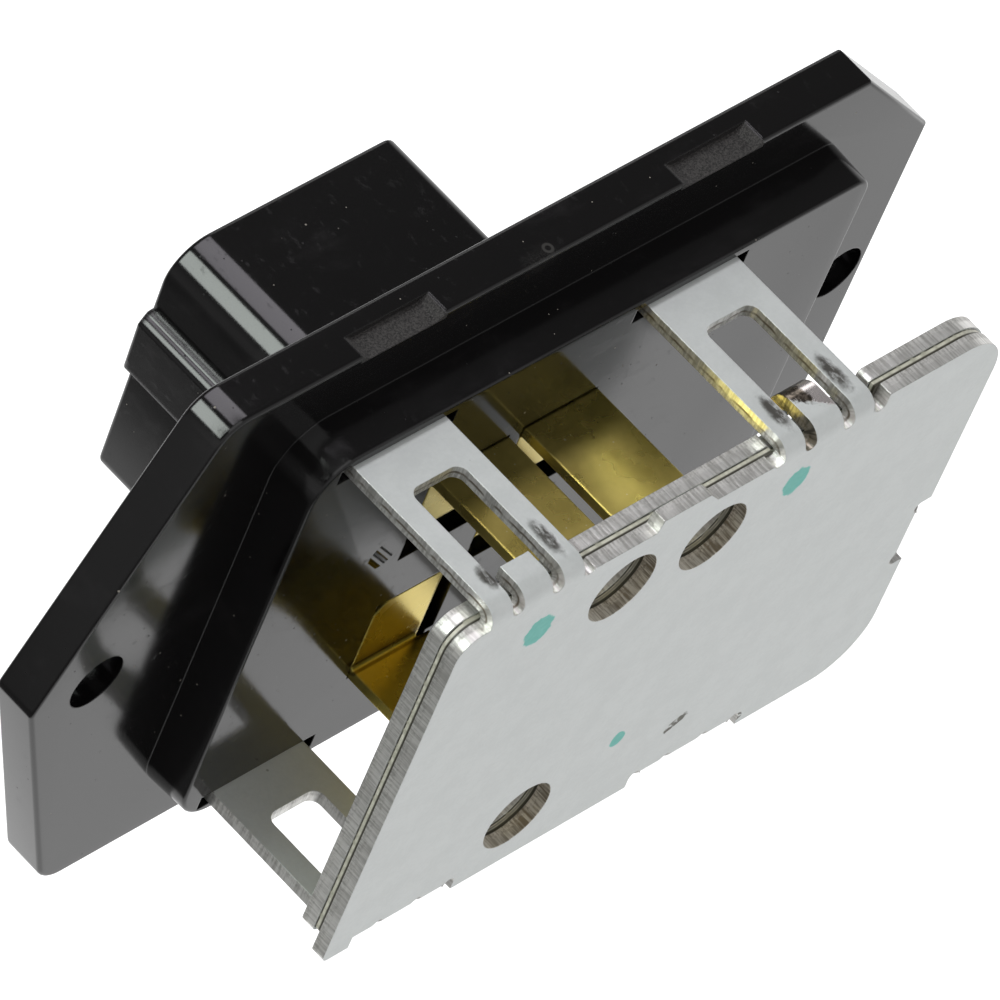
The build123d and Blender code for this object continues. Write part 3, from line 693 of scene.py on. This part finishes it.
class ResistorFinishes(bpy.types.PropertyGroup):
    """Colours of the part's finishes."""

    plastic: FloatVectorProperty(name="Plastic", description="Moulded housing", subtype="COLOR",
                                 size=3, default=(0.0045, 0.0040, 0.0042), min=0.0, max=1.0)
    zinc: FloatVectorProperty(name="Zinc", description="Plated sheet", subtype="COLOR",
                              size=3, default=(0.775, 0.80, 0.79), min=0.0, max=1.0)
    zinc_dark: FloatVectorProperty(name="Dark zinc", description="Darker mottling of the plating",
                                   subtype="COLOR", size=3, default=(0.72, 0.745, 0.735), min=0.0,
                                   max=1.0)
    zinc_metal: FloatProperty(name="Metallic zinc", description="How much the plating mirrors",
                              subtype="FACTOR", default=0.35, min=0.0, max=1.0)
    edge_metal: FloatProperty(name="Metallic edges", description="How much the cut edges mirror",
                              subtype="FACTOR", default=0.70, min=0.0, max=1.0)
    bare: FloatVectorProperty(name="Bare steel", description="Burnished cut edges", subtype="COLOR",
                              size=3, default=(0.90, 0.89, 0.86), min=0.0, max=1.0)
    bare_dark: FloatVectorProperty(name="Dark bare steel", description="Streaks of the cut edges",
                                   subtype="COLOR", size=3, default=(0.60, 0.59, 0.56), min=0.0,
                                   max=1.0)
    film: FloatVectorProperty(name="Film", description="Insulating film", subtype="COLOR",
                              size=3, default=(0.76, 0.74, 0.63), min=0.0, max=1.0)
    film_dark: FloatVectorProperty(name="Dark film", description="Darker streaks of the film",
                                   subtype="COLOR", size=3, default=(0.46, 0.45, 0.36), min=0.0,
                                   max=1.0)
    brass: FloatVectorProperty(name="Brass", description="Terminal strip", subtype="COLOR",
                               size=3, default=(0.84, 0.68, 0.20), min=0.0, max=1.0)
    brass_dark: FloatVectorProperty(name="Tarnished brass", description="Darker zones of the strip",
                                    subtype="COLOR", size=3, default=(0.60, 0.48, 0.11), min=0.0,
                                    max=1.0)
    amber: FloatVectorProperty(name="Amber brass", description="The lower terminal's tarnish",
                               subtype="COLOR", size=3, default=(0.84, 0.62, 0.08), min=0.0,
                               max=1.0)


class ResistorSizes(bpy.types.PropertyGroup):
    """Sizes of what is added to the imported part."""

    plastic_edge: FloatProperty(name="Plastic edge", description="Radius of the housing's edges",
                                unit="LENGTH", default=mm(0.12), min=0.0)
    rib_edge: FloatProperty(name="Rib edge", description="Radius of the key rib's corner",
                            unit="LENGTH", default=mm(0.5), min=0.0)
    steel_edge: FloatProperty(name="Steel edge", description="Radius of the sheared edges",
                              unit="LENGTH", default=mm(0.10), min=0.0)
    brass_edge: FloatProperty(name="Brass edge", description="Radius of the strips' edges",
                              unit="LENGTH", default=mm(0.18), min=0.0)


class RESISTOR_OT_housing(bpy.types.Operator):
    """Finish the moulded housing"""

    bl_idname = "resistor.housing"
    bl_label = "Housing"

    def execute(self, context):
        housing = dressed("housing", material("black_plastic", black_plastic))
        round_rib(housing)
        return {"FINISHED"}


class RESISTOR_OT_plates(bpy.types.Operator):
    """Finish the two steel plates"""

    bl_idname = "resistor.plates"
    bl_label = "Steel plates"

    def execute(self, context):
        dressed("outer_plate", material("outer_sheet", outer_sheet))
        dressed("inner_plate", material("inner_sheet", inner_sheet))
        return {"FINISHED"}


class RESISTOR_OT_films(bpy.types.Operator):
    """Finish the insulating films and the foil between them"""

    bl_idname = "resistor.films"
    bl_label = "Films and foil"

    def execute(self, context):
        finish = material("insulating_film", film)
        for node in ("rear_film", "front_film"):
            dressed(node, finish)
        dressed("resistor_foil", material("resistance_foil", foil))
        return {"FINISHED"}


class RESISTOR_OT_terminals(bpy.types.Operator):
    """Finish the four brass terminals and their solder joints"""

    bl_idname = "resistor.terminals"
    bl_label = "Terminals"

    def execute(self, context):
        finish = material("rolled_brass", brass)
        for place in ("upper_right", "upper_left"):
            dressed("terminal_" + place, finish, mm(KINK_SHIFT))
        for place in ("middle", "lower"):
            dressed("terminal_" + place, finish)
        dressed("solder_joints", material("solder", solder))
        return {"FINISHED"}


class RESISTOR_OT_stage(bpy.types.Operator):
    """Set up the camera, the floor and the lights"""

    bl_idname = "resistor.stage"
    bl_label = "Stage"

    def execute(self, context):
        make_camera()
        make_floor()
        make_world()
        make_lamps()
        return {"FINISHED"}


def make_camera():
    """The photograph's view."""
    data = bpy.data.cameras.new("camera")
    data.lens = CAMERA_LENS
    data.sensor_width = CAMERA_SENSOR
    data.clip_end = 20.0
    camera = bpy.data.objects.new("camera", data)
    turn = Matrix((CAMERA_RIGHT, CAMERA_UP, CAMERA_BACK)).transposed().to_4x4()
    camera.matrix_world = Matrix.Translation(CAMERA_PLACE) @ turn
    bpy.context.scene.collection.objects.link(camera)
    bpy.context.scene.camera = camera


# The floor lies below the part. It is white from one level of X on, for the reflections, and
# dim to the left of it, where it grows a little brighter again far away.
FLOOR_LEVEL = mm(-140.0)
FLOOR_HALF = 3.0
WHITE_ZONE_EDGE = mm(-96.0)
WHITE_ZONE_FULL = mm(-72.0)
FAR_ZONE_EDGE = mm(-250.0)
FAR_ZONE_FULL = mm(-900.0)
NEAR_GLOW = 0.13
FAR_GLOW = 0.32
SEEN_GLOW = 0.85


def make_floor():
    """A plain white floor, well below the part."""
    mesh = bpy.data.meshes.new("floor")
    corners = [(x, y, FLOOR_LEVEL) for x, y in
               ((-FLOOR_HALF, -FLOOR_HALF), (FLOOR_HALF, -FLOOR_HALF),
                (FLOOR_HALF, FLOOR_HALF), (-FLOOR_HALF, FLOOR_HALF))]
    mesh.from_pydata(corners, [], [(0, 1, 2, 3)])
    floor = bpy.data.objects.new("floor", mesh)
    bpy.context.scene.collection.objects.link(floor)
    made = bpy.data.materials.new("white_floor")
    made.use_nodes = True
    nodes = Nodes(made.node_tree)
    path = nodes.add("ShaderNodeLightPath")
    places = nodes.add("ShaderNodeTexCoord").outputs["Object"]
    along = nodes.add("ShaderNodeSeparateXYZ", {"Vector": places}).outputs["X"]
    zone = nodes.ramp(along, WHITE_ZONE_EDGE, WHITE_ZONE_FULL)
    far = nodes.ramp(along, FAR_ZONE_EDGE, FAR_ZONE_FULL)
    glossy = nodes.blend(zone, nodes.blend(far, NEAR_GLOW, FAR_GLOW), 1.0)
    # The camera sees the floor lit, so that it keeps the part's soft shadow.
    strength = nodes.blend(path.outputs["Is Camera Ray"], glossy, SEEN_GLOW)
    seen = nodes.highest(path.outputs["Is Camera Ray"], path.outputs["Is Glossy Ray"],
                         path.outputs["Is Transmission Ray"])
    plain = nodes.add("ShaderNodeBsdfDiffuse", {"Color": (0.8, 0.8, 0.8, 1)})
    white = nodes.add("ShaderNodeEmission", {"Color": (1, 1, 1, 1), "Strength": strength})
    lit = nodes.add("ShaderNodeAddShader", {0: plain.outputs[0], 1: white.outputs[0]})
    shown = nodes.add("ShaderNodeMixShader", {0: path.outputs["Is Camera Ray"], 1: white.outputs[0],
                                              2: lit.outputs[0]})
    both = nodes.add("ShaderNodeMixShader", {0: seen, 1: plain.outputs[0], 2: shown.outputs[0]})
    nodes.add("ShaderNodeOutputMaterial", {"Surface": both.outputs[0]})
    mesh.materials.append(made)


# The room's light on the part, and what each side adds to it: an axis of the direction, the
# levels where it starts and is full, and how much it adds
ROOM_GLOW = 0.12
ROOM_SIDES = (
    ("X", 0.80, 0.95, 0.80),
    ("X", -0.85, -0.97, 0.35),
    ("Y", -0.25, -0.65, 0.42),
)


def make_world():
    """White behind the part for the camera, and a dim room for everything else."""
    world = bpy.data.worlds.new("studio")
    bpy.context.scene.world = world
    world.use_nodes = True
    nodes = Nodes(world.node_tree)
    path = nodes.add("ShaderNodeLightPath")
    towards = nodes.split(nodes.add("ShaderNodeTexCoord").outputs["Generated"])
    glow = ROOM_GLOW
    for axis, start, full, added in ROOM_SIDES:
        glow = nodes.math("MULTIPLY_ADD", nodes.ramp(towards[axis], start, full), added, glow)
    room = nodes.add("ShaderNodeBackground", {"Color": (1, 1, 1, 1), "Strength": glow})
    white = nodes.add("ShaderNodeBackground", {"Color": (1, 1, 1, 1), "Strength": 1.0})
    both = nodes.add("ShaderNodeMixShader", {0: path.outputs["Is Camera Ray"], 1: room.outputs[0],
                                             2: white.outputs[0]})
    nodes.add("ShaderNodeOutputWorld", {"Surface": both.outputs[0]})


LAMP_DISTANCE = 0.9
# Name, direction from the part, width, height, radiance and tint of each lamp
LAMPS = (
    ("overhead", (-0.25, -0.25, 1.0), 0.75, 0.75, 0.95, (1.0, 1.0, 1.0)),
    ("upper_left", (-0.69, 0.38, 0.62), 0.54, 0.20, 8.5, (0.93, 1.0, 0.95)),
    ("top", (0.09, 0.38, 0.92), 0.70, 0.18, 3.4, (0.97, 0.93, 1.0)),
    ("upper_right", (0.60, 0.62, 0.50), 0.30, 0.30, 1.4, (1.0, 1.0, 1.0)),
)


def softbox(name, direction, width, height, radiance, tint):
    """A flat lamp that faces the part from a direction. Its width runs square to the Y axis."""
    data = bpy.data.lights.new(name, "AREA")
    data.shape = "RECTANGLE"
    data.size = width
    data.size_y = height
    data.energy = radiance * math.pi * width * height
    data.color = tint
    towards = Vector(direction).normalized()
    aside = Vector((0.0, 1.0, 0.0)).cross(towards).normalized()
    turn = Matrix((aside, towards.cross(aside), towards)).transposed().to_4x4()
    lamp = bpy.data.objects.new(name, data)
    lamp.matrix_world = Matrix.Translation(towards * LAMP_DISTANCE) @ turn
    bpy.context.scene.collection.objects.link(lamp)


def make_lamps():
    """A large soft light overhead, and three strips whose streaks show in the rounded corners."""
    for lamp in LAMPS:
        softbox(*lamp)


class RESISTOR_PT_panel(bpy.types.Panel):
    """Lists the pieces and the sizes"""

    bl_label = "Blower motor resistor"
    bl_space_type = "VIEW_3D"
    bl_region_type = "UI"
    bl_category = "Resistor"

    def draw(self, context):
        for step in OPERATORS:
            self.layout.operator(step.bl_idname)
        for group in (context.scene.resistor_sizes, context.scene.resistor_finishes):
            for name in group.__annotations__:
                self.layout.prop(group, name)


OPERATORS = (
    RESISTOR_OT_stage,
    RESISTOR_OT_housing,
    RESISTOR_OT_plates,
    RESISTOR_OT_films,
    RESISTOR_OT_terminals,
)
CLASSES = (ResistorFinishes, ResistorSizes) + OPERATORS + (RESISTOR_PT_panel,)


def register():
    """Make the classes and their settings known."""
    for each in CLASSES:
        bpy.utils.register_class(each)
    bpy.types.Scene.resistor_finishes = PointerProperty(type=ResistorFinishes)
    bpy.types.Scene.resistor_sizes = PointerProperty(type=ResistorSizes)


def unregister():
    """Take them away again."""
    del bpy.types.Scene.resistor_sizes
    del bpy.types.Scene.resistor_finishes
    for each in reversed(CLASSES):
        bpy.utils.unregister_class(each)


def main():
    """Dress every piece in turn."""
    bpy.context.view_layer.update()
    register()
    bpy.context.scene.view_settings.view_transform = "Standard"
    for step in OPERATORS:
        group, name = step.bl_idname.split(".")
        getattr(getattr(bpy.ops, group), name)()


if __name__ == "__main__":
    main()
